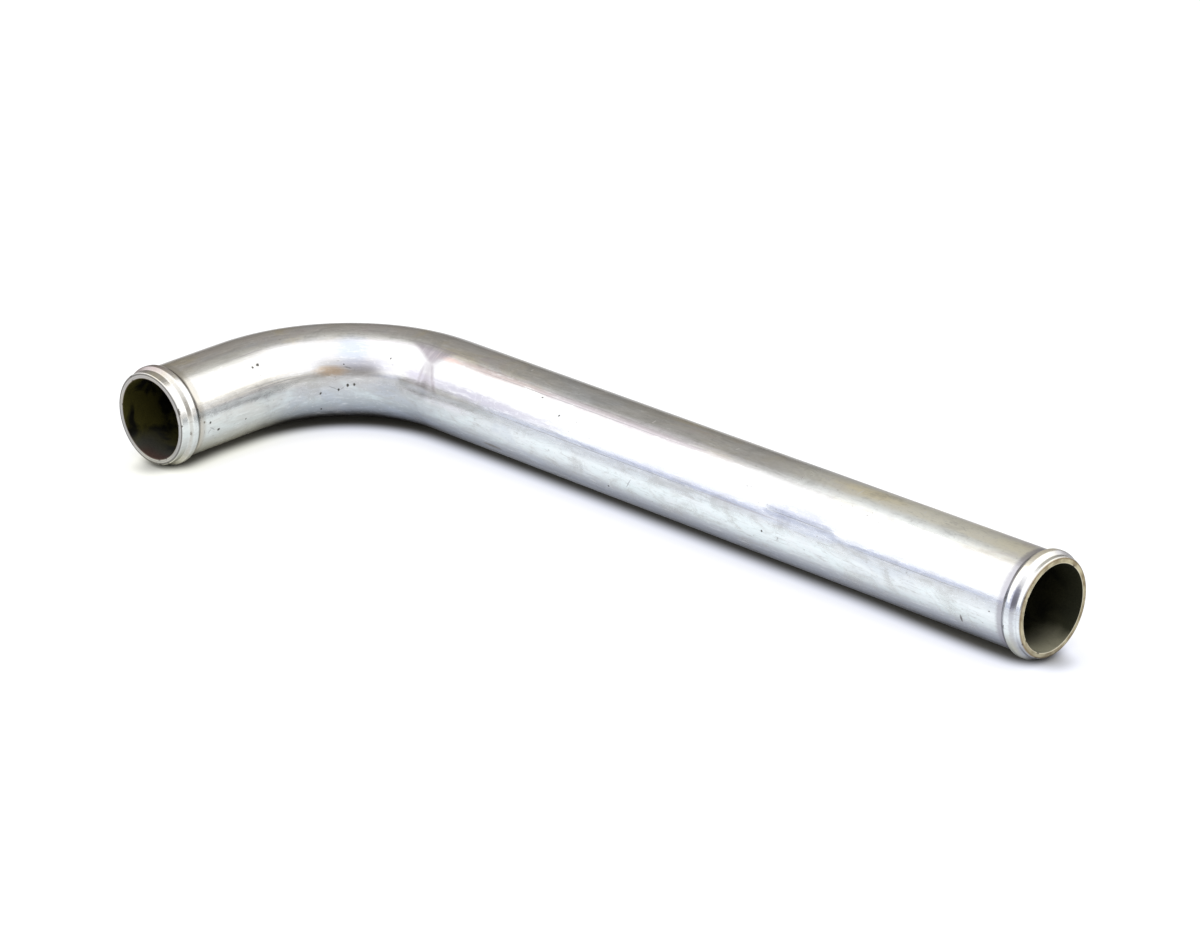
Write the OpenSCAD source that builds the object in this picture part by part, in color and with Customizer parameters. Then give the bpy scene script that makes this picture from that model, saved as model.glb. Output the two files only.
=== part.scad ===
// Rigid coolant pipe: one plated steel tube with a single bend and a rolled hose bead at each end.
// Millimetres. The pipe lies on its side: Z is up, the long leg runs along X with its mouth at +X,
// and the short leg leaves the bend towards -Y. Both beads touch the plane z = 0.

/* [Tube] */
// Outside diameter of the tube, which is the bore of the hose that fits it
tube_d = 38; // [30:0.5:50]
// Wall thickness
wall = 2.5; // [1.5:0.1:3.5]

/* [Route] */
// Straight length of the long leg, from its rim to the start of the bend
long_leg = 310; // [80:1:600]
// Straight length of the short leg, from its rim to the end of the bend
short_leg = 46; // [24:1:200]
// Radius of the bend, measured to the centre line of the tube
bend_radius = 60; // [45:1:120]
// Angle through which the tube turns
bend_angle = 91.5; // [90:0.5:110]
// Height of the faint step at each end of the bend, where the bending die let go of the tube
die_step = 0.05; // [0.03:0.01:0.2]

/* [Hose beads] */
// Height of a bead over the tube
bead_rise = 1.4; // [0.8:0.1:2]
// Width of the level crest of a bead
bead_land = 1.2; // [0.6:0.1:3]
// Steepness of the slope that faces the mouth
front_slope = 40; // [25:1:55]
// Steepness of the slope that faces the bend
back_slope = 32; // [25:1:55]
// Radius between a slope and the crest
shoulder_radius = 1.5; // [0.3:0.1:2]
// Radius between a slope and the tube
foot_radius = 1.2; // [0.3:0.1:2]

/* [Ends] */
// Length of the lip in front of the bead on the long leg
long_lip = 2.2; // [1.6:0.1:8]
// Length of the lip in front of the bead on the short leg
short_lip = 3.4; // [1.6:0.1:8]
// Radius on the outer edge of the long leg's rim
long_rim_radius = 1; // [0.2:0.1:1.2]
// Radius on the outer edge of the short leg's rim
short_rim_radius = 0.6; // [0.2:0.1:1.2]
// Radius on the inner edge of both rims, left by the deburring tool
deburr_radius = 0.3; // [0.1:0.1:0.3]

/* [Hidden] */
$fn = 96;

tube_r = tube_d / 2;
bead_r = tube_r + bead_rise;

// Length that a slope takes along the tube, between its corner at the foot and its corner at the crest
front_run = bead_rise / tan(front_slope);
back_run = bead_rise / tan(back_slope);

// A rounded corner of radius r on a slope uses r * tan(slope / 2) of each side. Half the slope is left to
// each of its two corners, so a radius too large for a low bead comes down to what fits.
function slope_length(slope) = bead_rise / sin(slope);
function corner_fit(r, slope) = min(r, 0.45 * slope_length(slope) / tan(slope / 2));
function corner_use(r, slope) = corner_fit(r, slope) * tan(slope / 2);

// The crest between its two sharp corners: the level land and what the rounded shoulders take
crest = bead_land + corner_use(shoulder_radius, front_slope) + corner_use(shoulder_radius, back_slope);

// Radius of the tube's outside round the bend
drawn_r = tube_r - die_step;

// Degrees by which each end of the bend's sweep reaches into a leg, how far a cut runs past a face, how far
// a corner's kite reaches past its edges, as a share of the arc's radius, and the hair by which a circle
// crosses an edge
bend_lap = 1;
cut_margin = 5;
kite_reach = 1.25;
hair = 0.00005;

// Seen from above and measured from the bend's centre: the direction to the end of the bend, the direction
// in which the short leg runs on from there, its mouth, and the crest edge of its bead nearest the bend
outward = [cos(90 + bend_angle), sin(90 + bend_angle)];
onward = [-outward.y, outward.x];
short_mouth = bend_radius * outward + short_leg * onward;
short_crest = short_mouth
    - (short_lip + front_run + corner_use(shoulder_radius, front_slope) + bead_land) * onward;

// Centre of the box round the pipe. The bend, the start of the short leg or its bead reaches furthest
// towards -X, and the rounded rim of the short leg towards -Y.
x_low = min(
    -bend_radius - drawn_r,
    (bend_radius + tube_r) * outward.x,
    short_crest.x - bead_r * abs(outward.x)
);
y_high = bend_radius + bead_r;
y_low = short_mouth.y - (tube_r - short_rim_radius) * abs(outward.y) - short_rim_radius * (1 + onward.y);
centre = [(x_low + long_leg) / 2, (y_low + y_high) / 2];

// Unit vector at an angle
function way(angle) = [cos(angle), sin(angle)];

// What lies between a corner and the arc of radius r that rounds it. The corner is at p, and its two edges
// leave it at the angles a and b: a kite from the arc's centre past both edges, less a circle. Added in the
// open side of a corner it is a fillet, and taken from the solid side it is a rounded edge. The circle is
// a hair larger than the arc, so it crosses both edges at a very flat angle instead of only touching them.
module corner_web(p, a, b, r) {
    half = abs(b - a) / 2;
    middle = (a + b) / 2;
    centre_at = p + way(middle) * r / sin(half);
    translate(centre_at) difference() {
        polygon(kite_reach * r * [[0, 0], way(a - 90), -way(middle) / sin(half), way(b + 90)]);
        circle(r + hair);
    }
}

// Half section of a bead: height over the tube along X, distance along the tube along Y, with the foot of
// the front slope at the origin. Its slopes run into the tube and into the crest through arcs.
module bead_half() {
    foot_front = [0, 0];
    crest_front = [bead_rise, front_run];
    crest_back = [bead_rise, front_run + crest];
    foot_back = [0, front_run + crest + back_run];
    up_front = 90 - front_slope;
    up_back = back_slope - 90;
    difference() {
        union() {
            polygon([
                [-wall / 2, foot_front.y], foot_front, crest_front,
                crest_back, foot_back, [-wall / 2, foot_back.y]
            ]);
            corner_web(foot_front, -90, up_front, corner_fit(foot_radius, front_slope));
            corner_web(foot_back, up_back, 90, corner_fit(foot_radius, back_slope));
        }
        corner_web(crest_front, 90, 180 + up_front, corner_fit(shoulder_radius, front_slope));
        corner_web(crest_back, 180 + up_back, 270, corner_fit(shoulder_radius, back_slope));
    }
}

// Everything inside the tube's outer surface, as half a section: radius along X, distance from the rim
// along Y. It starts `before` the rim.
module outer_half(length, lip, before = 0) {
    translate([0, -before]) square([tube_r, length + before]);
    translate([tube_r, lip]) bead_half();
}

// The wall of one leg. A bead is rolled outwards from inside the tube, so the inner surface is the outer
// one moved in by the wall, and a groove lies behind each bead. Both edges of the rim are rounded.
module leg_wall(length, lip, rim_radius) {
    difference() {
        outer_half(length, lip);
        translate([-wall, 0]) outer_half(length + cut_margin, lip, cut_margin);
        corner_web([tube_r, 0], 90, 180, rim_radius);
        corner_web([tube_r - wall, 0], 0, 90, deburr_radius);
    }
}

// One straight leg, revolved round Z with its rim at z = 0
module leg(length, lip, rim_radius) {
    rotate_extrude() leg_wall(length, lip, rim_radius);
}

// The bend: the tube's ring section swept round the bend's own centre, from the X axis on. The die drew it
// in by the step, so both ends of the sweep lie inside the walls of the legs.
module bend() {
    rotate_extrude(angle = bend_angle + 2 * bend_lap, start = -bend_lap)
        translate([bend_radius, 0])
            difference() {
                circle(drawn_r);
                circle(drawn_r - wall);
            }
}

// The whole pipe. Round the bend's centre the long leg runs off from the start of the bend and the short
// leg from its end, and a quarter turn then lays the long leg along X.
module pipe() {
    color("#c3c6c8") translate([-centre.x, -centre.y, bead_r]) rotate([0, 0, 90]) {
        bend();
        translate([bend_radius, -long_leg, 0])
            rotate([-90, 0, 0]) leg(long_leg, long_lip, long_rim_radius);
        rotate([0, 0, bend_angle])
            translate([bend_radius, short_leg, 0])
                rotate([90, 0, 0]) leg(short_leg, short_lip, short_rim_radius);
    }
}

pipe();
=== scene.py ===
# %% [markdown]
# # A bent coolant pipe, built as one surface
#
# The real part is a length of steel tube, 38 mm across, that carries coolant between two rubber hoses. A
# bead is rolled into each end so that a clamped hose can't slip off, the tube is bent once round a die,
# and the whole is zinc plated. The CAD frame already fixes its size and place. Here it gets what a
# photograph would show: the slight flat inside the bend, the mark that the die left, and a satin plating
# with streaks, tints and pits.

# %% The frame from CAD
import math

import bpy
import numpy as np
from mathutils import Matrix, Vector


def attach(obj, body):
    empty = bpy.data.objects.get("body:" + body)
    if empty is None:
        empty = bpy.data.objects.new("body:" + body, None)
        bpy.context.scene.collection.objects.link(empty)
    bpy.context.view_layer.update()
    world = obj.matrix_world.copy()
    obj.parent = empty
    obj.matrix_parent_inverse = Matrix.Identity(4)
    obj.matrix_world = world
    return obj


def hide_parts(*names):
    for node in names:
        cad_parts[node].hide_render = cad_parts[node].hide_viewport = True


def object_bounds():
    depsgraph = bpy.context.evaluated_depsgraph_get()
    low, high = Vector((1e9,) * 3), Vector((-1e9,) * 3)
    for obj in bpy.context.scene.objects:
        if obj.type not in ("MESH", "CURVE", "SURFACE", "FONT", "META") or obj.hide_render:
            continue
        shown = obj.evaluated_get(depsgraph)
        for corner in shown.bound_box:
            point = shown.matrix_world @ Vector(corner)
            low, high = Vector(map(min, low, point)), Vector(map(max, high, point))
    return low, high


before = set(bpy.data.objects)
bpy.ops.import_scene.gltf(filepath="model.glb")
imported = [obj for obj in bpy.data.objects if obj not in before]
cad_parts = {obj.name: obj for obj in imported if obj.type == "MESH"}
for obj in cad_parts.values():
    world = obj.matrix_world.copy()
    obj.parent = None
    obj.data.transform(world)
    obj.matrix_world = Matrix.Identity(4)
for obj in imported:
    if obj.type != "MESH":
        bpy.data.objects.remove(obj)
cad_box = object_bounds()
print("CAD box, m:", [[round(v, 5) for v in corner] for corner in cad_box])

# %% [markdown]
# ## Sizes
#
# The frame gives the pipe's place, and these are the sizes that it was drawn from, in millimetres. Two
# things differ here: the foot behind each bead is rounder, because the photo shows a soft one, and the
# bore is smooth. All shapes below are worked out in millimetres and become metres at the very end, when
# they go into a mesh.

# %% Sizes of the tube, its bend and its beads
TUBE_R = 19.0
WALL = 2.5
LONG_LEG = 310.0
SHORT_LEG = 46.0
BEND_R = 60.0
BEND_TURN = math.radians(91.5)
DIE_STEP = 0.05
BEAD_RISE = 1.4
BEAD_LAND = 1.2
FRONT_SLOPE = math.radians(40)
BACK_SLOPE = math.radians(32)
SHOULDER = 1.5
FOOT = 1.2
LONG_BACK_FOOT = 1.6
SHORT_BACK_FOOT = 2.8
LONG_LIP = 2.2
SHORT_LIP = 3.4
LONG_RIM = 1.0
SHORT_RIM = 0.6
DEBURR = 0.3
METRE = 1000.0

BEND_START = LONG_LEG
BEND_END = LONG_LEG + BEND_R * BEND_TURN
LENGTH = BEND_END + SHORT_LEG
AXIS_HEIGHT = TUBE_R + BEAD_RISE
BEND_CENTRE = np.array([
    cad_box[1][0] * METRE - LONG_LEG,
    cad_box[1][1] * METRE - BEND_R - AXIS_HEIGHT,
])
print(f"centre line {LENGTH:.1f} mm long, bend centre at {BEND_CENTRE.round(3)} mm")

# %% [markdown]
# ## Two helpers for smooth shapes
#
# Marks that a hand or a tool leaves fade in and out. `rise` is the usual smooth step, and `patch` is a
# soft-edged window made of two of them. Both work on whole arrays.

# %% Smooth step and soft window


def rise(x, start, end):
    """0 before start, 1 after end, and 3t^2 - 2t^3 between them, with t the share of the way."""
    t = np.clip((x - start) / (end - start), 0, 1)
    return t * t * (3 - 2 * t)


def patch(x, start, end, fade):
    """1 between start and end, falling smoothly to 0 over `fade` outside them."""
    return rise(x, start - fade, start) * (1 - rise(x, end, end + fade))


print("half a fade outside a window it is", patch(np.array([-1.0]), 0, 10, 2)[0])

# %% [markdown]
# ## The wall's outline
#
# Cut the straightened tube lengthwise and look at the cut wall: a long thin shape with a bead at each
# end. Every corner of that outline is rounded by a forming roll or a deburring tool. A polyline with a
# radius at each corner describes it well: each corner is replaced by an arc that touches both of its
# sides, which is exactly how the drawing of such a part would state it. The bore is left smooth, because
# the photo shows no groove at either mouth.

# %% Corners of the outline


def bead_corners(lip, radius, back_foot):
    """Corners of one bead, mouth side first, as (distance from the rim, radius from the axis, corner
    radius). The crest's sharp corners lie r * tan(slope / 2) beyond its level land, because each arc uses
    that much of it."""
    front = BEAD_RISE / math.tan(FRONT_SLOPE)
    back = BEAD_RISE / math.tan(BACK_SLOPE)
    crest = BEAD_LAND + SHOULDER * (math.tan(FRONT_SLOPE / 2) + math.tan(BACK_SLOPE / 2))
    top = radius + BEAD_RISE
    return [
        (lip, radius, FOOT),
        (lip + front, top, SHOULDER),
        (lip + front + crest, top, SHOULDER),
        (lip + front + crest + back, radius, back_foot),
    ]


def both_ends(radius):
    """Corners of both beads on a surface of this radius, from the long leg's mouth to the short leg's. The
    short leg's are measured from its own rim, so each becomes the whole length less that distance."""
    short_bead = bead_corners(SHORT_LIP, radius, SHORT_BACK_FOOT)
    far = [(LENGTH - s, r, c) for s, r, c in reversed(short_bead)]
    return bead_corners(LONG_LIP, radius, LONG_BACK_FOOT) + far


BORE_R = TUBE_R - WALL
corners = np.array(
    [(0.0, BORE_R, DEBURR), (0.0, TUBE_R, LONG_RIM)]
    + both_ends(TUBE_R)
    + [(LENGTH, TUBE_R, SHORT_RIM), (LENGTH, BORE_R, DEBURR)]
)
print(len(corners), "corners round the wall's outline")

# %% [markdown]
# The arc at a corner is found from the two sides' directions. It starts where it touches the first side
# and swings round a centre that lies one radius inwards. The spoke from that centre to a point of the arc
# is the outline's normal there, or its opposite in a hollow corner. Worked out for all corners at once,
# this needs no loop.

# %% Rounding the corners


def rounded(corners, steps=7):
    """Points of the closed outline, with every corner of radius c replaced by `steps` points of its arc,
    and the outline's outward normal at each. The arc starts and ends c * tan(half the turn) from the
    corner, and its centre lies c from both sides."""
    corner, radius = corners[:, :2], corners[:, 2]
    ahead = np.roll(corner, -1, axis=0) - corner
    ahead /= np.linalg.norm(ahead, axis=1)[:, None]
    behind = np.roll(ahead, 1, axis=0)
    turn = behind[:, 0] * ahead[:, 1] - behind[:, 1] * ahead[:, 0]
    half = np.abs(np.arcsin(np.clip(turn, -1, 1))) / 2
    side = np.sign(turn)
    inward = np.stack([-behind[:, 1], behind[:, 0]], axis=1) * side[:, None]
    start = corner - behind * (radius * np.tan(half))[:, None]
    share = np.linspace(0, 1, steps)[None, :, None]
    angle = 2 * half[:, None, None] * share
    centre = (start + inward * radius[:, None])[:, None, :]
    spoke = -inward[:, None, :] * np.cos(angle) + behind[:, None, :] * np.sin(angle)
    points = centre + radius[:, None, None] * spoke
    normal = -spoke * side[:, None, None]
    return points.reshape(-1, 2), normal.reshape(-1, 2)


outline, outline_normal = rounded(corners)
print(len(outline), "points on the rounded outline")

# %% [markdown]
# The long straight runs need points of their own, or the bend would be a polygon. They are packed closely
# round the bend and closer still where the die left its mark, and they are sparse inside the bore, which
# is seen only through the mouths.

# %% Points along the straight runs
KEEP_OFF = 0.2
SAME_RADIUS = 1e-6


def runs(stretches):
    """Distances that are spaced evenly, by about `step`, within each (start, end, step) stretch."""
    parts = [np.linspace(a, b, max(2, round((b - a) / step) + 1)) for a, b, step in stretches]
    return np.unique(np.concatenate(parts).round(4))


def filled(points, normals, extra, surface_r):
    """The outline with the distances `extra` put in on the long run at this radius. That run is the
    longest gap between neighbours there, and new points keep a little off its ends."""
    on_surface = np.abs(points[:, 1] - surface_r) < SAME_RADIUS
    gap = np.abs(np.roll(points[:, 0], -1) - points[:, 0]) * on_surface
    at = int(np.argmax(gap))
    low, high = sorted([points[at, 0], points[(at + 1) % len(points), 0]])
    inner = extra[(extra > low + KEEP_OFF) & (extra < high - KEEP_OFF)]
    if points[at, 0] > points[(at + 1) % len(points), 0]:
        inner = inner[::-1]
    new = np.stack([inner, np.full(len(inner), surface_r)], axis=1)
    facing = np.repeat(normals[at][None], len(inner), axis=0)
    return np.insert(points, at + 1, new, axis=0), np.insert(normals, at + 1, facing, axis=0)


outside_run = runs([
    (0, 80, 4.0), (80, 134, 1.5), (134, 296, 4.0), (296, 318, 0.5), (318, BEND_END, 1.5),
    (BEND_END, LENGTH, 2.0),
])
bore_run = runs([(0, 296, 12.0), (296, 318, 2.0), (318, BEND_END, 2.4), (BEND_END, LENGTH, 6.0)])
outline, outline_normal = filled(outline, outline_normal, outside_run, TUBE_R)
outline, outline_normal = filled(outline, outline_normal, bore_run, BORE_R)

AROUND = 192
print(f"{len(outline)} rows of {AROUND} points: {2 * len(outline) * AROUND} triangles")

# %% [markdown]
# ## The tube's route
#
# A place on the tube is given by `s`, the distance along the centre line from the long leg's mouth, and
# by `turn`, the angle round the tube: 0 on top, a quarter turn on the inner side of the bend. A function
# carries those two numbers and a radius into space. That is all a pipe is: a profile carried along a
# path.

# %% From (s, turn, radius) into space


def route(s):
    """The centre line's place and the sideways direction at s, both in plan. Round the bend that direction
    has the angle a = 90 degrees + (s - start) / radius, and the place is the bend's centre plus its radius
    times the direction. Before and after the bend the place moves straight on."""
    a = math.pi / 2 + np.clip((s - BEND_START) / BEND_R, 0, BEND_TURN)
    sideways = np.stack([np.cos(a), np.sin(a)], axis=-1)
    onward = np.stack([-np.sin(a), np.cos(a)], axis=-1)
    before = np.minimum(s - BEND_START, 0)
    after = np.maximum(s - BEND_END, 0)
    centre = BEND_CENTRE + BEND_R * sideways + (before + after)[..., None] * onward
    return centre, sideways


def place(s, turn, radius):
    """The point at angle `turn` from the top and this far from the centre line, which is the line's place
    plus radius * (cos(turn) up - sin(turn) sideways)."""
    centre, sideways = route(s)
    plan = centre - (radius * np.sin(turn))[..., None] * sideways
    height = AXIS_HEIGHT + radius * np.cos(turn)
    return np.concatenate([plan, height[..., None]], axis=-1)


mouths, _ = route(np.array([0.0, LENGTH]))
print("the two mouths in plan, mm:", mouths.round(1).tolist())

# %% [markdown]
# ## What bending and handling did to it
#
# A real bent tube isn't a perfect torus. The inner side of this bend is pressed slightly flat, the die
# left a narrow ring with fine ripples where it let go, and the legs carry shallow dents from handling.
# These are real shapes, so they change the surface itself: the eye finds them by how they bend the long
# highlight.

# %% Departures from the perfect tube


def departure(s, turn):
    """Millimetres that the surface stands proud (+) or lies low (-) of the perfect tube at (s, turn). Each
    mark is a height times exp(-((x - middle) / width)^2) in one direction and a soft window in the other,
    and the waves are sines of both."""
    degrees = np.degrees(turn)
    inner_side = np.exp(-((degrees - 96) / 30) ** 2)
    flat = -0.5 * inner_side * patch(s, 330, 368, 22)
    pinched = -DIE_STEP * patch(s, BEND_START + 6, BEND_END - 8, 12)
    upper = patch(degrees, 40, 80, 22)
    ring = 0.06 * np.exp(-((s - 304.2) / 1.8) ** 2) - 0.16 * np.exp(-((s - 308.4) / 2.3) ** 2)
    ripple = 0.006 * np.sin(2 * math.pi * s / 1.6) * patch(s, 305.5, 311, 1.2)
    dent = 0.26 * np.exp(-((degrees - 56) / 7) ** 2) - 0.26 * np.exp(-((degrees - 72) / 8) ** 2)
    dent *= patch(s, 91, 121, 5)
    flank = 0.07 * np.exp(-((degrees - 50) / 9) ** 2) - 0.07 * np.exp(-((degrees - 70) / 10) ** 2)
    flank *= patch(s, 272, 300, 50) * (1 - rise(s, 303, 308))
    waves = 0.010 * np.sin(s / 17.0 + 1.3) * np.sin(turn * 2 + s / 61.0)
    waves += 0.006 * np.sin(s / 7.3 + 2.0 * np.sin(turn + 0.4))
    waves *= patch(s, 22, LENGTH - 22, 10)
    return flat + pinched + (ring + ripple) * upper + dent + flank + waves


inside_bend = departure(np.array([350.0]), np.radians([96.0]))
print("pressed in on the inner side of the bend, mm:", inside_bend.round(2))

# %% [markdown]
# Every row of the outline now meets every angle round the tube. The rows and the angles make a grid, and
# one call turns the whole grid into points in space, with no loop over them.

# %% The pipe's points
turn = np.linspace(-math.pi, math.pi, AROUND, endpoint=False)
S, TURN = np.meshgrid(outline[:, 0], turn, indexing="ij")
moved = departure(S, TURN)
RADIUS = outline[:, 1][:, None] + moved
points = place(S, TURN, RADIUS)
print("largest departure from the perfect tube, mm:", round(float(np.abs(moved).max()), 3))

# %% [markdown]
# ## Into a mesh
#
# The outline is closed and so is every ring, so the grid of points wraps both ways like a torus: no seam,
# no open edge and no pole. Two attributes go with it for the plating. `straight` is where each point
# would be if the tube had never been bent, so a pattern can follow the tube round its bend. `facing` is
# the outline's normal: how far a point faces along the tube and away from its axis, which tells the
# outside, the bore and the cut ends.

# %% Mesh from a grid that wraps both ways


def wrapped_mesh(name, grid):
    """A mesh from a grid of points (rows, columns, 3) in millimetres, closed in both directions. Quad
    (i, j) joins the points (i, j), (i + 1, j), (i + 1, j + 1) and (i, j + 1), seen from outside."""
    rows, columns = grid.shape[:2]
    index = np.arange(rows * columns).reshape(rows, columns)
    below = np.roll(index, -1, axis=0)
    quads = np.stack([index, below, np.roll(below, -1, axis=1), np.roll(index, -1, axis=1)], axis=-1)
    mesh = bpy.data.meshes.new(name)
    mesh.vertices.add(rows * columns)
    mesh.vertices.foreach_set("co", (grid / METRE).astype(np.float32).ravel())
    mesh.loops.add(quads.size)
    mesh.loops.foreach_set("vertex_index", quads.astype(np.int32).ravel())
    mesh.polygons.add(rows * columns)
    mesh.polygons.foreach_set("loop_start", np.arange(0, quads.size, 4, dtype=np.int32))
    mesh.update(calc_edges=True)
    mesh.polygons.foreach_set("use_smooth", np.ones(rows * columns, bool))
    return mesh


def put(mesh, name, values):
    """Stores one vector for each vertex as a named attribute."""
    layer = mesh.attributes.new(name, "FLOAT_VECTOR", "POINT")
    layer.data.foreach_set("vector", values.astype(np.float32).ravel())


pipe_mesh = wrapped_mesh("plated_pipe", points)
straight = np.stack([RADIUS * np.sin(TURN), RADIUS * np.cos(TURN), S], axis=-1)
put(pipe_mesh, "straight", straight)
facing = np.concatenate([outline_normal, np.zeros((len(outline), 1))], axis=1)
put(pipe_mesh, "facing", np.repeat(facing[:, None, :], AROUND, axis=1))
pipe = bpy.data.objects.new("plated_pipe", pipe_mesh)
bpy.context.scene.collection.objects.link(pipe)
middle = pipe_mesh.polygons[int(np.argmin(np.abs(outline[:, 0] - 150)) * AROUND + AROUND // 2)]
print("polygons", len(pipe_mesh.polygons))
print("normal on top of the long leg", [round(v, 2) for v in middle.normal])

# %% [markdown]
# ## Writing shaders as sums
#
# A node tree is a formula drawn as boxes. `Wire` lets it be written as one: it holds an output socket,
# and adding or multiplying wires adds the Math nodes for it. Every other node comes from `node`, which
# takes the node's type, its settings, and what goes into its sockets.

# %% A socket that can be added and multiplied


def set_stops(elements, stops):
    """Puts (position, colour) stops on a colour ramp, which starts with two of its own."""
    for _ in stops[2:]:
        elements.new(0.5)
    for element, (position, colour) in zip(elements, stops):
        element.position = position
        element.color = (*colour, 1)


class Wire:
    """An output socket of a node tree. Sums of wires and numbers add Math nodes."""

    def __init__(self, tree, socket=None):
        self.tree, self.socket = tree, socket

    def node(self, kind, settings=None, inputs=None, output=0):
        """Adds a node, sets its settings, then sets or links each named socket. Returns the wire of one
        output, a list of them for a tuple of outputs, or nothing for None."""
        made = self.tree.nodes.new(kind)
        for key, value in (settings or {}).items():
            if key == "stops":
                set_stops(made.color_ramp.elements, value)
            else:
                setattr(made, key, value)
        for key, value in (inputs or {}).items():
            socket = made.inputs[key]
            if isinstance(value, Wire):
                self.tree.links.new(value.socket, socket)
            else:
                socket.default_value = value
        if isinstance(output, tuple):
            return [Wire(self.tree, made.outputs[each]) for each in output]
        return None if output is None else Wire(self.tree, made.outputs[output])

    def math(self, operation, *values):
        """One Math node on these values."""
        return self.node("ShaderNodeMath", {"operation": operation}, dict(enumerate(values)))

    def __add__(self, other):
        return self.math("ADD", self, other)

    def __sub__(self, other):
        return self.math("SUBTRACT", self, other)

    def __rsub__(self, other):
        return self.math("SUBTRACT", other, self)

    def __mul__(self, other):
        return self.math("MULTIPLY", self, other)

    def __truediv__(self, other):
        return self.math("DIVIDE", self, other)

    def __rtruediv__(self, other):
        return self.math("DIVIDE", other, self)

    def __pow__(self, other):
        return self.math("POWER", self, other)

    def __rpow__(self, other):
        return self.math("POWER", other, self)

    __radd__ = __add__
    __rmul__ = __mul__

    def line(self, factor, addend):
        """This value times a factor plus an addend, in one node."""
        return self.math("MULTIPLY_ADD", self, factor, addend)

    def most(self, other):
        """The larger of this and another value."""
        return self.math("MAXIMUM", self, other)

    def size(self):
        """This value without its sign."""
        return self.math("ABSOLUTE", self)

    def between(self, start, end):
        """0 below start and 1 above end, smoothly, as `rise` does. With start above end it falls."""
        return self.node(
            "ShaderNodeMapRange",
            {"interpolation_type": "SMOOTHSTEP"},
            {"Value": self, "From Min": start, "From Max": end},
        )

    def blend(self, first, second):
        """The colour `first` where this mask is 0 and `second` where it is 1."""
        first, second = [c if isinstance(c, Wire) else (*c, 1) for c in (first, second)]
        return self.node("ShaderNodeMix", {"data_type": "RGBA"}, {0: self, 6: first, 7: second}, output=2)

    def scaled(self, x, y, z):
        """A vector with each part multiplied by its own number."""
        return self.node("ShaderNodeVectorMath", {"operation": "MULTIPLY"}, {0: self, 1: (x, y, z)})

    def parts(self):
        """The three numbers of a vector."""
        return self.node("ShaderNodeSeparateXYZ", {}, {0: self}, output=(0, 1, 2))

    def noise(self, scale, detail=2.0, rough=0.5, warp=0.0):
        """Noise between 0 and 1 at this vector, `scale` blobs to each unit."""
        return self.node("ShaderNodeTexNoise", {}, {
            "Vector": self, "Scale": scale, "Detail": detail, "Roughness": rough, "Distortion": warp,
        })


print("with a number on the left:", [name for name in vars(Wire) if name.startswith("__r")])

# %% [markdown]
# ## Where on the tube
#
# The plating's patterns need to know where they are: along the tube, round it, in the bore or on a cut
# end. These wires read the two attributes of the mesh. Angles are in degrees from the top.

# %% The plating's material and its coordinates
plating = bpy.data.materials.new("zinc_plated_steel")
plating.use_nodes = True
plating.node_tree.nodes.clear()
coating = Wire(plating.node_tree)
spot = coating.node("ShaderNodeAttribute", {"attribute_name": "straight"}, output="Vector")
across, upward, along = spot.parts()
angle = coating.math("ARCTAN2", across, upward) * (180 / math.pi)
off_axis = (across * across + upward * upward) ** 0.5
faced = coating.node("ShaderNodeAttribute", {"attribute_name": "facing"}, output="Vector")
facing_along, facing_out, _ = faced.parts()
bore = facing_out.between(-0.2, -0.9)


def count(step):
    """Prints how many nodes the plating has after a step."""
    print(f"{len(plating.node_tree.nodes)} nodes in the plating with its {step}")


count("coordinates")

# %% [markdown]
# ## Streaks, mottling and tints
#
# Seen closely, drawn and plated tube is never one grey. Fine streaks follow its length, because it was
# pulled through a die. Larger clouds come from the plating bath, and the clear passivation over the zinc
# is a film so thin that it tints the metal faintly yellow, rose or blue, as oil does on water. The
# streaks come from noise that is stretched fifty times along the tube.

# %% Noise on the straightened tube
streaks = spot.scaled(1, 1, 0.02).noise(1.5, detail=5, rough=0.65)
ridges = spot.scaled(1, 1, 0.012).noise(0.42, detail=3, rough=0.6)
grain = spot.scaled(1, 1, 0.5).noise(1.3, detail=4, rough=0.7)
clouds = spot.scaled(1, 1, 0.6).noise(0.09, detail=6, rough=0.66, warp=0.9)
film = spot.scaled(1, 1, 0.40).noise(0.05, detail=4, rough=0.6, warp=1.2)
swell = spot.scaled(1, 1, 0.35).noise(0.16, detail=2, rough=0.5)
brushed = spot.scaled(1, 1, 0.16).noise(0.85, detail=6, rough=0.72, warp=0.4)
speckle = spot.scaled(1, 1, 0.8).noise(0.55, detail=4, rough=0.75)
count("noise")

# %% [markdown]
# The metal's colour changes with the angle from the top, and it is painted reflection and shade. On the
# long leg the band just below the middle of the flank is painted brightest, as the floor seen in it, and
# the metal under it dark, as the pipe's shadow on the floor seen in it. The bend is painted dark
# underneath for the same shadow, and the short leg is painted bright above and below a dull band. That is
# a colour by angle, which a ramp gives. There is a ramp for each of the three, blended along the tube with
# a ragged edge.

# %% Colour by angle, for three parts of the tube
half_turn = angle.size() * (1 / 180)


def painted_by_angle(stops):
    """Painted reflection and shade at each angle from the top, alike on both sides, by (degrees, colour)
    stops.
    """
    fixed = [(degrees / 180, colour) for degrees, colour in stops]
    return half_turn.node("ShaderNodeValToRGB", {"stops": fixed}, {"Fac": half_turn}, output="Color")


# Painted reflection and shade: the bright bands are the floor seen in the metal, and the dark undersides
# are its shadow.
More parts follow.
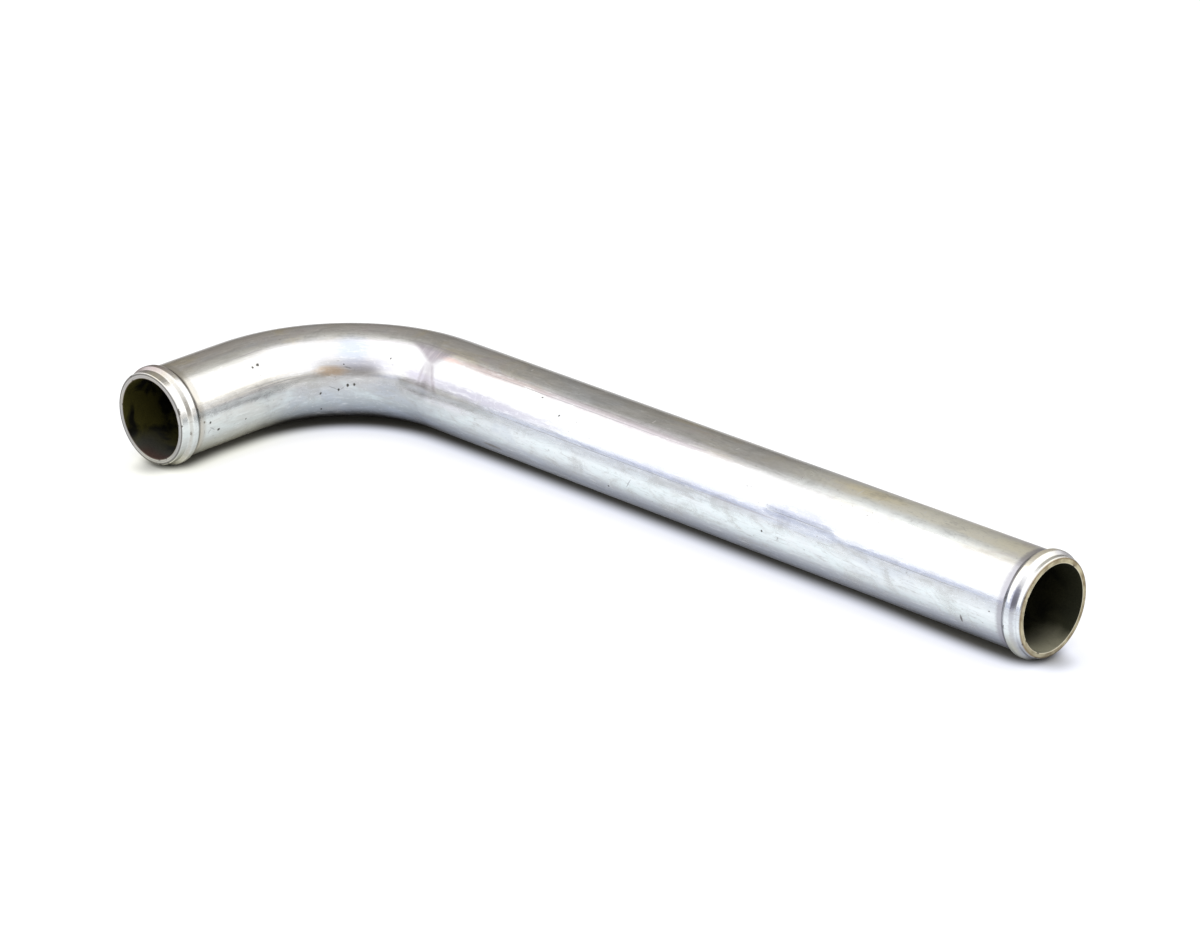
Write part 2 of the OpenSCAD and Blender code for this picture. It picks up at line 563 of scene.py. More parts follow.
on_long_leg = painted_by_angle([
    (0, (0.62, 0.615, 0.60)), (50, (0.58, 0.585, 0.595)), (76, (0.59, 0.61, 0.64)),
    (91, (0.82, 0.87, 0.90)), (102, (0.74, 0.79, 0.82)), (113, (0.49, 0.52, 0.56)),
    (126, (0.37, 0.395, 0.43)), (150, (0.56, 0.58, 0.61)),
])
on_bend = painted_by_angle([
    (0, (0.62, 0.60, 0.58)), (50, (0.58, 0.58, 0.60)), (80, (0.55, 0.545, 0.55)),
    (100, (0.50, 0.535, 0.57)), (114, (0.40, 0.44, 0.47)), (128, (0.29, 0.315, 0.335)),
    (140, (0.12, 0.12, 0.11)), (160, (0.02, 0.018, 0.012)),
])
on_short_leg = painted_by_angle([
    (0, (0.61, 0.585, 0.56)), (54, (0.60, 0.60, 0.59)), (74, (0.84, 0.83, 0.79)),
    (98, (0.60, 0.62, 0.60)), (116, (0.52, 0.54, 0.52)), (130, (0.49, 0.50, 0.45)),
    (147, (0.84, 0.83, 0.70)),
])
wavy = along + (clouds - 0.5) * 40
metal = wavy.between(240, 338).blend(on_long_leg, on_bend)
metal = wavy.between(385, 412).blend(metal, on_short_leg)
count("colour by angle")

# %% [markdown]
# The film on the zinc is thinner in some places than in others, so its tints come and go in clouds. Two
# kinds of noise place them: yellow and rose on the upper side, mint on the bright band, and blue where
# the film's noise is low. `calm` keeps them faint in the long highlight, which is a clean line on the
# photo.

# %% Mottling and tints
YELLOW = (0.66, 0.59, 0.42)
MINT = (0.80, 0.93, 0.95)
ROSE = (0.59, 0.51, 0.54)
BLUE = (0.50, 0.56, 0.66)
DULL = (0.43, 0.43, 0.42)
LIGHT = (0.86, 0.87, 0.87)
calm = (angle - 47).size().between(14, 26).line(0.85, 0.15)
upper = angle.between(72, 55)
lower = angle.between(74, 86) * angle.between(118, 104)
metal = (film.between(0.48, 0.66) * calm * upper * 0.55).blend(metal, YELLOW)
metal = (film.between(0.44, 0.60) * lower * 0.30).blend(metal, MINT)
metal = (film.between(0.46, 0.32) * calm * 0.28).blend(metal, BLUE)
metal = (clouds.between(0.54, 0.70) * calm * upper * 0.40).blend(metal, ROSE)
count("cloudy tints")

# %% [markdown]
# ## Marks with a place of their own
#
# Some marks are where they are because of what happened there: warm tints beside the bending die's ring, a
# matt olive patch near the long mouth, a stain low on the flank. Most of the others are painted light and
# shade: they lighten or darken the metal along the edges of the long highlight, in its gap on the bend and
# low on the flanks, where the panels' edges, the floor and the pipe's shadow are reflected. Each is a soft
# ellipse on the straightened tube, given by its distance along the tube and its angle from the top. Noise
# breaks up its edge, so it isn't a drawn ellipse.

# %% Soft ellipses on the tube
along_rough = along + (grain - 0.5) * 1.2
angle_rough = angle + (grain - 0.5) * 4.0


def mark(s, degrees, half_length, half_angle, soft=0.6):
    """A mask that is 1 on an ellipse at (s, degrees) and fades to 0 where the squared distance, in half
    lengths and half angles, reaches 1."""
    x = along_rough.line(1 / half_length, -s / half_length)
    y = angle_rough.line(1 / half_angle, -degrees / half_angle)
    return x.line(x, y * y).between(1.0, 1.0 - soft)


ragged = clouds.line(1.6, -0.8) + brushed.line(1.2, -0.6)


def tints_and_painted_light(metal, places):
    """The metal with soft tints and patches of painted light and shade: (s, degrees, half length, half
    angle, colour, strength). Each fades with the squared distance from its middle, in half lengths and
    half angles, and noise breaks up its rim."""
    for s, degrees, half_length, half_angle, colour, strength in places:
        x = along.line(1 / half_length, -s / half_length)
        y = angle.line(1 / half_angle, -degrees / half_angle)
        soft = (x.line(x, y * y) + ragged).between(1.3, -0.2)
        metal = (soft * strength).blend(metal, colour)
    return metal


# %% [markdown]
# Each line of this list is one tint or one patch of painted light or shade: its distance along the tube,
# its angle, half its length in millimetres, half its width in degrees, its colour and its strength. Later
# ones lie over earlier ones.
# Dull and light mottling from three of the noises then goes over them all.

# %% Tints
BRIGHT_OLIVE = (0.98, 0.97, 0.87)
# Painted light and shade: most patches at 20 to 31 and at 60 to 90 degrees brighten or darken the long
# highlight's edges, the blue-grey ones between 308 and 354 mm darken its gap on the bend, and those at 137
# and 143 degrees lighten the underside. The yellow and olive ones near the long mouth, the pink one at 302
# mm and the orange one at 365 mm are tints.
metal = tints_and_painted_light(metal, [
    (58, 4, 72, 32, BRIGHT_OLIVE, 0.98),
    (66, 21, 66, 9, (0.92, 0.97, 1.0), 0.8),
    (86, 0, 20, 12, (0.98, 0.88, 0.60), 0.65),
    (16, 4, 14, 16, (0.95, 0.90, 0.68), 0.5),
    (205, 29, 70, 6, (0.46, 0.41, 0.44), 0.85),
    (272, 29, 34, 6, (0.42, 0.34, 0.33), 0.85),
    (175, 22, 44, 4, (0.70, 0.68, 0.72), 0.6),
    (205, -4, 24, 10, (0.52, 0.51, 0.48), 0.6),
    (420, 23, 30, 8, (0.84, 0.84, 0.80), 0.7),
    (425, 76, 18, 7, (0.92, 0.91, 0.88), 0.7),
    (350, 20, 44, 7, (0.80, 0.80, 0.78), 0.6),
    (302, 31, 10, 5, (0.62, 0.43, 0.38), 0.7),
    (365, 70, 12, 8, (0.72, 0.55, 0.38), 0.8),
    (354, 44, 10, 26, (0.44, 0.49, 0.58), 0.75),
    (345, 62, 22, 9, (0.48, 0.48, 0.57), 0.6),
    (272, 65, 46, 8, (0.36, 0.35, 0.42), 0.85),
    (313, 66, 8, 11, (0.44, 0.42, 0.50), 0.7),
    (160, 70, 74, 6, (0.49, 0.51, 0.60), 0.75),
    (106, 61, 20, 8, (0.44, 0.46, 0.55), 0.8),
    (50, 71, 44, 5, (0.52, 0.54, 0.62), 0.6),
    (300, 83, 26, 10, (0.90, 0.90, 0.97), 0.85),
    (311, 79, 13, 10, (0.92, 0.91, 1.0), 0.85),
    (332, 88, 11, 11, (0.42, 0.46, 0.53), 0.55),
    (205, 81, 84, 7, (0.50, 0.53, 0.58), 0.5),
    (372, 82, 14, 8, (0.46, 0.455, 0.44), 0.6),
    (396, 79, 19, 8, (0.80, 0.79, 0.75), 0.85),
    (379, 74, 12, 7, (0.42, 0.41, 0.38), 0.7),
    (412, 66, 34, 4, (0.52, 0.49, 0.43), 0.6),
    (330, 30, 26, 4, (0.60, 0.58, 0.60), 0.7),
    (425, 29, 26, 5, (0.56, 0.56, 0.52), 0.6),
    (325, 137, 15, 11, (0.44, 0.48, 0.54), 0.7),
    (308, 67, 9, 10, (0.48, 0.46, 0.53), 0.6),
    (408, 72, 34, 4, (0.60, 0.57, 0.49), 0.5),
    (240, 143, 84, 16, (0.74, 0.77, 0.80), 0.75),
])
metal = (clouds.between(0.50, 0.34) * calm * 0.40).blend(metal, DULL)
metal = (brushed.between(0.50, 0.28) * calm * 0.60).blend(metal, DULL)
metal = (brushed.between(0.52, 0.74) * 0.45).blend(metal, LIGHT)
metal = (speckle.between(0.44, 0.26) * calm * 0.45).blend(metal, DULL)
metal = (speckle.between(0.56, 0.74) * 0.30).blend(metal, LIGHT)
count("placed tints and mottling")

# %% [markdown]
# ## Ring from the bending die
#
# Where the die let go of the tube, the surface has a shallow step, which is modelled, and a dull band of
# rubbing marks. On the photo it is a notch in the long highlight: wide above, then two faint lines that
# spread apart down the flank. `above` and `beyond` measure how far a point is over and under the place
# where they meet.
# Its dark colour is partly those rubbing marks and partly painted shade, which cuts the notch into the
# highlight.

# %% Die ring
LINES_MEET = 44
rub = spot.scaled(0.05, 0.05, 1).noise(1.4, detail=3, rough=0.6)
ring_along = along + (grain - 0.5) * 0.8
above = (LINES_MEET - angle).most(0)
beyond = (angle - LINES_MEET).most(0)
gap_above = (ring_along - above * 0.22 - 307.2).size() - above * 0.50
edge_left = (ring_along + beyond * 0.19 - 306.5).size()
edge_right = (ring_along - 310.0).size()
die_ring_and_painted_notch = gap_above.between(4.8, -1.6) * angle.between(66, 36)
between_them = (ring_along - 307.8 + beyond * 0.08).size().between(5.6, 0.4)
die_ring_and_painted_notch = die_ring_and_painted_notch.most(between_them * angle.between(34, 50) * 0.55)
die_ring_and_painted_notch = die_ring_and_painted_notch.most(edge_left.between(2.2, 0.0) * angle.between(38, 50) * 0.8)
die_ring_and_painted_notch = die_ring_and_painted_notch.most(edge_right.between(2.0, 0.0) * angle.between(44, 54) * 0.6)
die_ring_and_painted_notch = die_ring_and_painted_notch * (angle - 49).size().between(34, 20) * rub.between(0.15, 0.60).line(0.45, 0.55)
# Partly painted shade: this darkens the highlight in the notch's shape, over the rubbing marks.
metal = die_ring_and_painted_notch.blend(metal, (0.31, 0.285, 0.31))
count("die ring")

# %% [markdown]
# ## Pits, specks and scratches
#
# Zinc has small pits where dirt sat under it. The few that are large enough to notice are listed one by
# one, in the same (distance, angle) terms. A fine sprinkling of tiny specks comes from the cells of a
# Voronoi texture, in patches that the clouds choose.

# %% Pits and specks


def joined(masks):
    """Any of several masks."""
    total = masks[0]
    for other in masks[1:]:
        total = total.most(other)
    return total


pits = joined([mark(s, degrees, 0.85 * size, 2.3 * size, 0.8) for s, degrees, size in [
    (352.0, 87.6, 1.0), (355.8, 88.5, 1.1), (361.2, 94.5, 0.9), (371.7, 98.0, 0.8), (406.4, 45.4, 1.1),
    (409.2, 46.0, 0.8), (437.2, 92.0, 0.8), (440.3, 89.0, 0.7), (432.5, 105.6, 1.0), (331.8, 51.0, 0.5),
    (233.5, 50.0, 0.5), (246.0, 36.0, 0.55), (13.8, 88.0, 0.4), (122.8, 94.0, 0.7), (204.0, 114.0, 0.6),
    (357.8, 62.5, 0.6), (371.0, 124.0, 0.7), (418.0, 105.0, 0.5),
]])
cell_sockets = {"Vector": spot.scaled(1, 1, 0.7), "Scale": 0.30}
cells = spot.node("ShaderNodeTexVoronoi", {"feature": "F1"}, cell_sockets, output="Distance")
specks = cells.between(0.13, 0.05) * clouds.between(0.46, 0.58) * 0.8
count("pits and specks")

# %% [markdown]
# Handling adds scratches: dark ones, bright nicks across the top, and long soft lines along the tube.
# Each is a very thin ellipse, so it only needs a frame that is turned by the scratch's own slope.
# The long dark lines straight along the tube, at 31 degrees and at 67 to 76 degrees, are painted
# reflections of the panels' edge and of the horizon, drawn like scratches. The soft line at 75.5 degrees
# is one too.

# %% Scratches


def scratch(s, degrees, length, width, slope):
    """A thin ellipse of that length and width in mm, turned by `slope` degrees from the tube's length.
    With u along it and v across it, in halves of its size, it fades out as u^2 + v^2 reaches 1."""
    c, d = math.cos(math.radians(slope)), math.sin(math.radians(slope))
    arc = TUBE_R * math.pi / 180
    far, wide = 2 / length, 2 / width
    u = along.line(c * far, angle.line(arc * d * far, -(s * c + degrees * arc * d) * far))
    v = along_rough.line(-d * wide, angle.line(arc * c * wide, (s * d - degrees * arc * c) * wide))
    return u.line(u, v * v).between(1.0, 0.3)


scratches_and_painted_lines = joined([scratch(*each) for each in [
    (355.5, 66.5, 5.0, 0.8, -10), (364.0, 92.0, 8.0, 0.6, -18), (359.0, 92.5, 4.0, 0.5, 30),
    (436.0, 101.0, 4.0, 0.6, -35), (437.5, 103.5, 3.0, 0.5, 50), (440.2, 102.0, 2.5, 0.6, 90),
    (192.0, 98.5, 6.5, 0.6, 55), (115.0, 97.0, 3.0, 0.5, 70), (106.0, 67.2, 38.0, 0.45, 0),
    (50.0, 75.6, 74.0, 0.40, 0), (215.0, 75.4, 170.0, 0.40, 0), (395.0, 73.5, 60.0, 0.40, 0),
    (404.0, 70.5, 40.0, 0.30, 0), (230.0, 31.4, 150.0, 0.40, 0),
]])
bright_scratches = joined([scratch(*each) for each in [
    (89.3, 6.0, 0.7, 4.6, 0), (263.0, 0.0, 0.7, 2.2, 15), (79.0, 11.0, 0.6, 2.0, 20),
    (192.0, 14.0, 0.6, 2.6, -10), (60.0, 0.0, 0.6, 3.0, 10), (150.0, 9.0, 0.5, 2.2, -25),
]])
soft_lines = joined([scratch(*each) for each in [
    (205.0, 28.2, 130.0, 1.0, 0), (225.0, 24.6, 120.0, 1.2, 0), (415.0, 27.0, 46.0, 0.9, 0),
    (300.0, 20.5, 60.0, 1.1, 0), (130.0, 75.5, 60.0, 0.8, 0),
]])
deep_mark = scratch(27.3, 111.0, 1.3, 4.0, 0)
stain = mark(269.5, 123.0, 6.5, 3.2, 0.95) * streaks.between(0.30, 0.55)
count("scratches and stain")

# %% [markdown]
# So far these are only masks. Now each gets its colour, the faintest first, so that a pit stays dark
# where a scratch crosses it.

# %% Marks on the metal
metal = (soft_lines * streaks.between(0.35, 0.60) * 0.5).blend(metal, (0.42, 0.39, 0.41))
metal = (specks * 0.5).blend(metal, (0.25, 0.24, 0.22))
# Partly painted reflection: the long straight lines in this mask stand for the panels' edge and the
# horizon.
metal = (scratches_and_painted_lines * 0.55).blend(metal, (0.26, 0.26, 0.28))
metal = (bright_scratches * 0.7).blend(metal, (0.95, 0.95, 0.95))
metal = (stain * 0.9).blend(metal, (0.20, 0.17, 0.13))
metal = (deep_mark * 0.85).blend(metal, (0.16, 0.15, 0.15))
metal = (pits * 0.95).blend(metal, (0.06, 0.055, 0.045))
count("marks")

# %% [markdown]
# ## Cut ends
#
# The two ends look different. The long leg's rim has taken an olive-brown passivation with a brown line
# in it, and the short leg's is bare grey metal, faintly turned, with a dark line where the deburring tool
# stopped. Both have a few dark nicks on their edges and a differently coloured inner edge. The distance
# from the axis tells the lines apart, and which way the surface faces tells the two rims apart.

# %% Rims
long_rim = facing_along.between(-0.72, -0.96)
short_rim = facing_along.between(0.60, 0.92)
rim_noise = spot.noise(0.16, detail=5, rough=0.6)
olive = rim_noise.between(0.34, 0.66).blend((0.24, 0.19, 0.11), (0.54, 0.49, 0.33))
metal = (long_rim * 0.95).blend(metal, olive)
lathe_phase = off_axis.line(9.0, rim_noise * 4.0)
turned = lathe_phase.math("SINE", lathe_phase) * 0.5 + 0.5
metal = (short_rim * turned.line(0.40, 0.50)).blend(metal, (0.345, 0.335, 0.33))
inner_edge = off_axis.between(17.0, 16.7)
metal = (inner_edge * facing_along.between(0.3, 0.7) * 0.8).blend(metal, (0.12, 0.085, 0.05))
metal = (inner_edge * facing_along.between(-0.3, -0.7) * 0.7).blend(metal, (0.78, 0.74, 0.58))
brown_line = off_axis.between(18.0, 18.3) * off_axis.between(18.9, 18.6) * facing_along.between(-0.3, -0.6)
metal = (brown_line * 0.7).blend(metal, (0.22, 0.16, 0.09))
tool_line = off_axis.between(18.0, 18.25) * off_axis.between(18.8, 18.6) * facing_along.between(0.3, 0.6)
metal = (tool_line * 0.7).blend(metal, (0.10, 0.095, 0.085))
nicks = joined([mark(s, degrees, half_length, half_angle) for s, degrees, half_length, half_angle in [
    (LENGTH - 0.3, 66, 0.5, 5.0), (LENGTH, 84, 0.5, 1.6), (LENGTH, -35, 0.5, 2.6), (LENGTH, -84, 0.5, 2.0),
    (LENGTH, 166, 0.5, 2.6), (LENGTH, 150, 0.5, 1.8), (LENGTH - 4.0, 96, 0.3, 3.5), (6.8, 19, 0.6, 2.2),
    (6.3, 97, 0.5, 3.0), (0, 60, 0.5, 2.0), (0, 118, 0.5, 2.6), (0, 152, 0.5, 3.0), (0, -40, 0.5, 2.2),
]])
nicks = nicks * (off_axis - 17.75).size().between(0.45, 0.85)
metal = (nicks * 0.8).blend(metal, (0.08, 0.07, 0.06))
count("rims")

# %% [markdown]
# ## Painted shade and light at the beads
#
# The hollow feet in front of and behind each bead's slopes are painted darker, which is painted shade
# where the hollow lies in shade. The long leg's crest is painted warm white above, a painted highlight,
# and olive below, a painted reflection. The short leg's is mauve on top, with a lighter foot behind it,
# which is painted light. Each is a soft ring at its distance along the tube, faded out by angle where it
# needs to be.

# %% Painted shade behind and in front of the beads


def band(middle, half):
    """A soft ring round the tube at this distance."""
    return (along_rough - middle).size().between(half, half * 0.3)


outer = facing_out.between(0.2, 0.6)
# Painted shade in the hollow feet in front of and behind the long bead.
front_bead_shade = (band(3.2, 1.1) * 0.45 + band(1.7, 0.6) * 0.2) * (angle - 20).size().between(10, 45)
bead_shade = (band(8.7, 2.9) * 0.70 + front_bead_shade) * outer
metal = bead_shade.blend(metal, (0.33, 0.32, 0.365))
# Painted shade in the valley in front of the long bead.
metal = mark(3.4, 64, 1.5, 17, 0.9).blend(metal, (0.27, 0.28, 0.36))
# Painted shade in the feet of the short bead.
short_bead_shade = (band(LENGTH - 10.6, 2.6) * 0.50 + band(LENGTH - 4.2, 0.8) * 0.40) * outer
metal = short_bead_shade.blend(metal, (0.42, 0.395, 0.34))
# Painted light on the short bead's back foot.
metal = (band(LENGTH - 9.5, 2.2) * outer * 0.6).blend(metal, (0.55, 0.52, 0.455))
mauve_top = band(LENGTH - 5.6, 3.6) * angle.between(28, -8) * outer
metal = (mauve_top * 0.75).blend(metal, (0.36, 0.30, 0.315))
# Painted highlight on the long crest's upper side, and painted reflection below it.
crest_highlight = band(5.2, 1.6) * (angle - 10).size().between(60, 20) * outer
metal = (crest_highlight * 0.6).blend(metal, (0.95, 0.88, 0.72))
crest_underside_reflection = band(5.0, 3.2) * (angle - 140).size().between(45, 15) * outer
metal = (crest_underside_reflection * 0.5).blend(metal, (0.50, 0.50, 0.36))
count("bead_shade")

# %% [markdown]
# ## The steel's shader
#
# The steel is a mirror with a little blur. Its bump is a few hundredths of a millimetre of streaks and
# swells, and its roughness is lowest where the plating is clean and highest in the matt patch near the
# long mouth, on the undersides and in the pits. The specular tint takes some white off the very flat
# angles, as a dull film does.

# %% Finished metal
PLATING_DEPTH = 0.00004
bump_height = ridges * 0.8 + swell * 1.1 + grain * 0.30 + brushed * 0.45 + speckle * 0.30 + streaks * 0.25
bump_height = bump_height - pits * 1.5 - scratches_and_painted_lines * 0.3
bump_height = bump_height + die_ring_and_painted_notch * rub * 0.5
bump_sockets = {"Strength": 1.0, "Distance": PLATING_DEPTH, "Height": bump_height}
bump = coating.node("ShaderNodeBump", {}, bump_sockets, output="Normal")
underside = angle.size().between(70, 88)
matt_patch = wavy.between(140, 104) * (angle - 2).size().between(38, 22)
roughness = clouds.between(0.35, 0.70).line(0.05, 0.11) + underside * 0.14 + streaks * 0.05
roughness = roughness + matt_patch * 0.15
roughness = roughness + die_ring_and_painted_notch * 0.10 + (long_rim + short_rim) * 0.16 + pits * 0.3
steel = coating.node("ShaderNodeBsdfPrincipled", {}, {
    "Base Color": metal, "Metallic": pits.line(-0.7, 1.0), "Roughness": roughness, "Normal": bump,
    "Specular Tint": (0.52, 0.51, 0.50, 1),
}, output="BSDF")

# %% [markdown]
# ## The film's shader
#
# Coolant has left a dark, dull olive film in the bore, with blotches and some rust at the bottom of the
# short mouth. The bottom of the long mouth is painted pale, which is painted light where light falls in
# through the mouth. It isn't metal to the eye, so it gets a shader of its own, mixed in by how far the
# surface faces inwards. `lowness` is 1 along the bottom of the bore and -1 along its top.

# %% Film in the bore
FILM_DEPTH = 0.0002
blotch = spot.noise(0.10, detail=3, rough=0.5, warp=0.5)
lowness = upward * (-1 / BORE_R)
from_mouth = LENGTH - along
deposit = blotch.between(0.34, 0.64).blend((0.004, 0.004, 0.002), (0.022, 0.021, 0.010))
deposit = (along.between(16, 1) * 0.5).blend(deposit, (0.048, 0.051, 0.031))
# Painted light: the bottom of the long mouth is paler, where light falls in.
painted_light_at_mouth = along.between(17, 1) * (lowness + (blotch - 0.5) * 0.3).between(0.70, 1.0)
deposit = (painted_light_at_mouth * 0.9).blend(deposit, (0.26, 0.25, 0.18))
olive_patch = from_mouth.between(38, 12) * blotch.between(0.36, 0.54)
deposit = (olive_patch * 0.85).blend(deposit, (0.070, 0.064, 0.012))
damp = from_mouth.between(20, 6) * lowness.between(0.55, 0.85)
deposit = (damp * 0.8).blend(deposit, (0.050, 0.051, 0.050))
rust = from_mouth.between(8, 1) * lowness.between(0.80, 0.99)
deposit = rust.blend(deposit, (0.062, 0.037, 0.030))
film_sockets = {"Strength": 1.0, "Distance": FILM_DEPTH, "Height": blotch * 0.5 + grain}
film_bump = coating.node("ShaderNodeBump", {}, film_sockets, output="Normal")
dark_film = coating.node("ShaderNodeBsdfPrincipled", {}, {
    "Base Color": deposit, "Metallic": 0.0, "Roughness": 0.75, "Specular IOR Level": 0.12,
    "Normal": film_bump,
}, output="BSDF")
both = coating.node("ShaderNodeMixShader", {}, {0: bore, 1: steel, 2: dark_film})
coating.node("ShaderNodeOutputMaterial", {}, {"Surface": both}, output=None)
pipe_mesh.materials.append(plating)
count("two shaders")

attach(pipe, "root")
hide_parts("pipe")

# %% [markdown]
# ## Floor
#
# The pipe lies on white paper. Under soft light from all sides such paper goes white to the camera, and
# only the narrow gap under the tube stays dark. How dark is a matter of how much sky the paper sees.
# Every short piece of the tube hides a little of it: with r the tube's radius, h the height of its axis,
# R the distance from the paper to the piece and g the angle between that line and the tube, a piece of
# length c hides the share 2 r h c sin(g) / (pi R^3). A straight tube without ends would hide r h / R^2,
# with R to its nearest point. The sum treats a close piece as a thin line, so the floor, a grid that is
# fine round the pipe, stores a mean of both, in which the nearest point counts for more beside the last
# stretch before each mouth, though not in front of it. The pieces go a little past both rims, which are
# wide and hide sky too.

# %% How much sky the floor sees
FLOOR_HALF = 3000.0
PIECE = 2.0
OVERHANG = 4.0


def floor_lines(near, far):
    """Grid lines every 2 mm up to `near` from the middle, every 10 mm up to `far`, and wide ones beyond,
    the same on both sides."""
    half = runs([(0, near, 2.0), (near, far, 10), (far, FLOOR_HALF, 460)])
    return np.unique(np.concatenate([-half, half]))


floor_x = floor_lines(230, 300)
floor_y = floor_lines(110, 180)
FLOOR_X, FLOOR_Y = np.meshgrid(floor_x, floor_y, indexing="ij")
stations = np.arange(-OVERHANG, LENGTH + OVERHANG, PIECE)
path, sideways = route(stations)
gap_x = FLOOR_X.reshape(-1, 1) - path[:, 0]
gap_y = FLOOR_Y.reshape(-1, 1) - path[:, 1]
off_line = gap_x * sideways[:, 0] + gap_y * sideways[:, 1]
square = gap_x**2 + gap_y**2 + AXIS_HEIGHT**2
hidden = 2 * TUBE_R * AXIS_HEIGHT * PIECE * np.sqrt(AXIS_HEIGHT**2 + off_line**2) / (math.pi * square**2)
nearest = stations[square.argmin(axis=1)]
beside = AXIS_HEIGHT * TUBE_R / square.min(axis=1)
onward = np.stack([-sideways[:, 1], sideways[:, 0]], axis=1)
past_long = -(gap_x[:, 0] * onward[0, 0] + gap_y[:, 0] * onward[0, 1])
past_short = gap_x[:, -1] * onward[-1, 0] + gap_y[:, -1] * onward[-1, 1]
near_mouth = np.maximum(1 - rise(nearest, 15, 90), 1 - rise(LENGTH - nearest, 5, 32))
near_mouth *= (1 - rise(past_long, -16, 0)) * (1 - rise(past_short, -14, 0) * (nearest > BEND_END))
nearest_weight = 0.6 + 0.22 * near_mouth
sum_weight = 0.4 - 0.12 * near_mouth
open_share = 1 - nearest_weight * beside - sum_weight * hidden.sum(axis=1)
print("floor grid", FLOOR_X.shape, "least open share of the sky", round(float(open_share.min()), 3))

# %% [markdown]
# The paper's own colour, lit by the room, gives part of its brightness and the pipe's real shadow, and
# that colour is painted darker and browner where little sky is open, which is painted shade. The rest is a
# white of its own for what the camera and the metal see of it, and a Mix Shader fades it out where the sky
# is hidden, which is a painted shadow. The fading edge is bluish beside the long leg and olive under the
# short one, as in the photo.

# %% White paper
WHITE_STRENGTH = 0.72
paper = bpy.data.materials.new("paper")
paper.use_nodes = True
paper.node_tree.nodes.clear()
sheet = Wire(paper.node_tree)
seen = None
for ray in ("Is Camera Ray", "Is Glossy Ray", "Is Transmission Ray"):
    kind = sheet.node("ShaderNodeLightPath", output=ray)
    seen = kind if seen is None else seen + kind
stored = sheet.node("ShaderNodeAttribute", {"attribute_name": "sky"}, output="Vector")
open_sky, short_side, _ = stored.parts()
# Painted shadow: the white's edge tint and its fade, and the paper's darker colour, follow the stored
# share of open sky.
shadow_edge_tint = short_side.blend((0.84, 0.87, 1.0), (0.96, 0.96, 0.86))
lit = sheet.node("ShaderNodeEmission", {}, {
    "Color": open_sky.between(0.25, 0.62).blend(shadow_edge_tint, (0.98, 0.985, 1.0)),
    "Strength": seen * WHITE_STRENGTH,
})
unlit = sheet.node("ShaderNodeEmission", {}, {"Strength": 0.0})
white_with_painted_shadow = sheet.node("ShaderNodeMixShader", {}, {0: open_sky.between(0.11, 0.40), 1: unlit, 2: lit})
matt_with_painted_shade = sheet.node("ShaderNodeBsdfPrincipled", {}, {
    "Base Color": open_sky.between(0.05, 0.30).blend((0.16, 0.155, 0.135), (0.30, 0.30, 0.30)),
    "Roughness": 1.0, "Specular IOR Level": 0.0,
}, output="BSDF")
both_papers = sheet.node("ShaderNodeAddShader", {}, {0: matt_with_painted_shade, 1: white_with_painted_shadow})
sheet.node("ShaderNodeOutputMaterial", {}, {"Surface": both_papers}, output=None)
print(len(paper.node_tree.nodes), "nodes in the paper")

# %% [markdown]
# The floor's grid is fine beside the pipe and very coarse far out, and it reaches 3 m each way, so its
# edge never shows. Its second number rises from 0 to 1 between the middle of the bend and the short leg,
# where the shadow's edge turns olive. The floor belongs to the stage, not to the part.

# %% The floor's mesh
rows, columns = FLOOR_X.shape
index = np.arange(rows * columns).reshape(rows, columns)
floor_quads = np.stack([index[:-1, :-1], index[1:, :-1], index[1:, 1:], index[:-1, 1:]], axis=-1)
floor_points = np.stack([FLOOR_X, FLOOR_Y, np.zeros_like(FLOOR_X)], axis=-1).reshape(-1, 3) / METRE
floor_mesh = bpy.data.meshes.new("floor")
floor_mesh.from_pydata(floor_points, [], floor_quads.reshape(-1, 4))
put(floor_mesh, "sky", np.stack([open_share, rise(nearest, 350, 420), np.zeros_like(nearest)], axis=-1))
floor_mesh.materials.append(paper)
floor = bpy.data.objects.new("floor", floor_mesh)
bpy.context.scene.collection.objects.link(floor)
print("floor faces", len(floor_mesh.polygons))

# %% [markdown]
# ## Light
#
# Metal looks like what it mirrors. The pipe was lit by large white panels at the sides and above, with a
# warm grey wall behind, a dimmer gap on the near side, and a softer band where the panels end above the
# floor. Such a room is simple enough to be written as a function of direction in the world shader, at a
# level where white paper renders white and only the clean metal's highlight goes beyond it. `flat` is how
# level a direction is, 1 along the floor and 0 straight up.

# %% The room as a function of direction
world = bpy.data.worlds.new("studio")
bpy.context.scene.world = world
world.use_nodes = True
world.node_tree.nodes.clear()
room = Wire(world.node_tree)
dx, dy, dz = room.node("ShaderNodeTexCoord", output="Generated").parts()
flat = (1.0001 - dz * dz) ** 0.5


def towards(degrees):
    """1 straight towards this compass direction, 0 at right angles to it, whatever the height."""
    a = math.radians(degrees)
    return dx.line(math.cos(a), dy * math.sin(a)) / flat


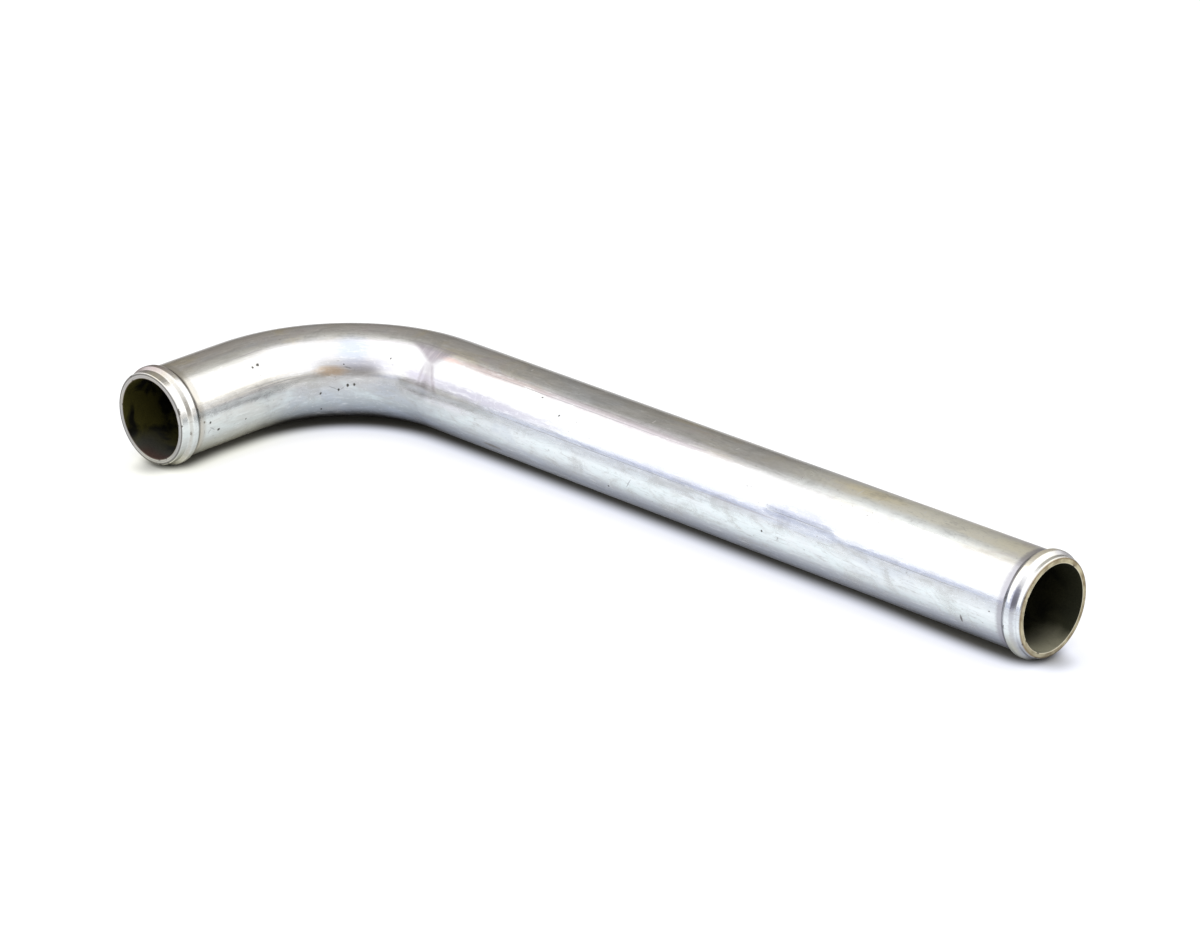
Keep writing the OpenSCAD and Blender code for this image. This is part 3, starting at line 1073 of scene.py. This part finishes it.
PANEL = (1.85, 1.85, 1.85)
BACK_WALL = (0.56, 0.545, 0.515)
NEAR_GAP = (0.60, 0.58, 0.56)
LOW_LEFT = (0.90, 0.95, 1.12)
LOW_RIGHT = (0.86, 0.85, 0.85)
to_left = towards(228)
back_wall = towards(134).between(0.61, 0.96) * flat.between(-0.10, 0.62)
near_gap = towards(308).between(0.70, 0.97) * dz.between(0.95, 0.22)
low = dz + to_left * 0.05
skirt = low.between(to_left.between(0, 0.6).line(-0.09, 0.30), 0.10) * towards(134).between(0.85, 0.55)
light = back_wall.blend(PANEL, BACK_WALL)
light = skirt.blend(light, to_left.between(-0.2, 0.4).blend(LOW_RIGHT, LOW_LEFT))
light = near_gap.blend(light, NEAR_GAP)
surroundings = room.node("ShaderNodeBackground", {}, {"Color": light, "Strength": 1.0})
room.node("ShaderNodeOutputWorld", {}, {"Surface": surroundings}, output=None)
print(len(world.node_tree.nodes), "nodes in the room")

# %% [markdown]
# ## Camera
#
# The camera's place, direction, lens and small roll were found by fitting the pipe's outline and both
# mouths to the photo. Blender's camera looks along its own -Z, so the three columns of its matrix are
# right, up and minus the direction of view.

# %% Camera
LENS = 124.90
SENSOR = 36.0
ROLL = math.radians(-0.427)
camera_place = np.array([1025.50, -1016.53, 637.82]) / METRE
forward = np.array([-0.65052, 0.65277, -0.38822])
forward /= np.linalg.norm(forward)
level_right = np.cross(forward, [0, 0, 1])
level_right /= np.linalg.norm(level_right)
level_up = np.cross(level_right, forward)
right = math.cos(ROLL) * level_right + math.sin(ROLL) * level_up
up = math.cos(ROLL) * level_up - math.sin(ROLL) * level_right
camera_data = bpy.data.cameras.new("camera")
camera_data.lens = LENS
camera_data.sensor_width = SENSOR
camera_data.sensor_fit = "HORIZONTAL"
camera_data.clip_end = 20.0
camera = bpy.data.objects.new("camera", camera_data)
pose = np.eye(4)
pose[:3, 0], pose[:3, 1], pose[:3, 2], pose[:3, 3] = right, up, -forward, camera_place
camera.matrix_world = Matrix(pose.tolist())
bpy.context.scene.collection.objects.link(camera)
bpy.context.scene.camera = camera
bpy.context.scene.view_settings.view_transform = "Standard"
print("looking down by", round(math.degrees(math.asin(-forward[2])), 1), "degrees")

# %% [markdown]
# ## The CAD box
#
# The finished surface has to stay inside the box of the CAD part, which is printed near the start.
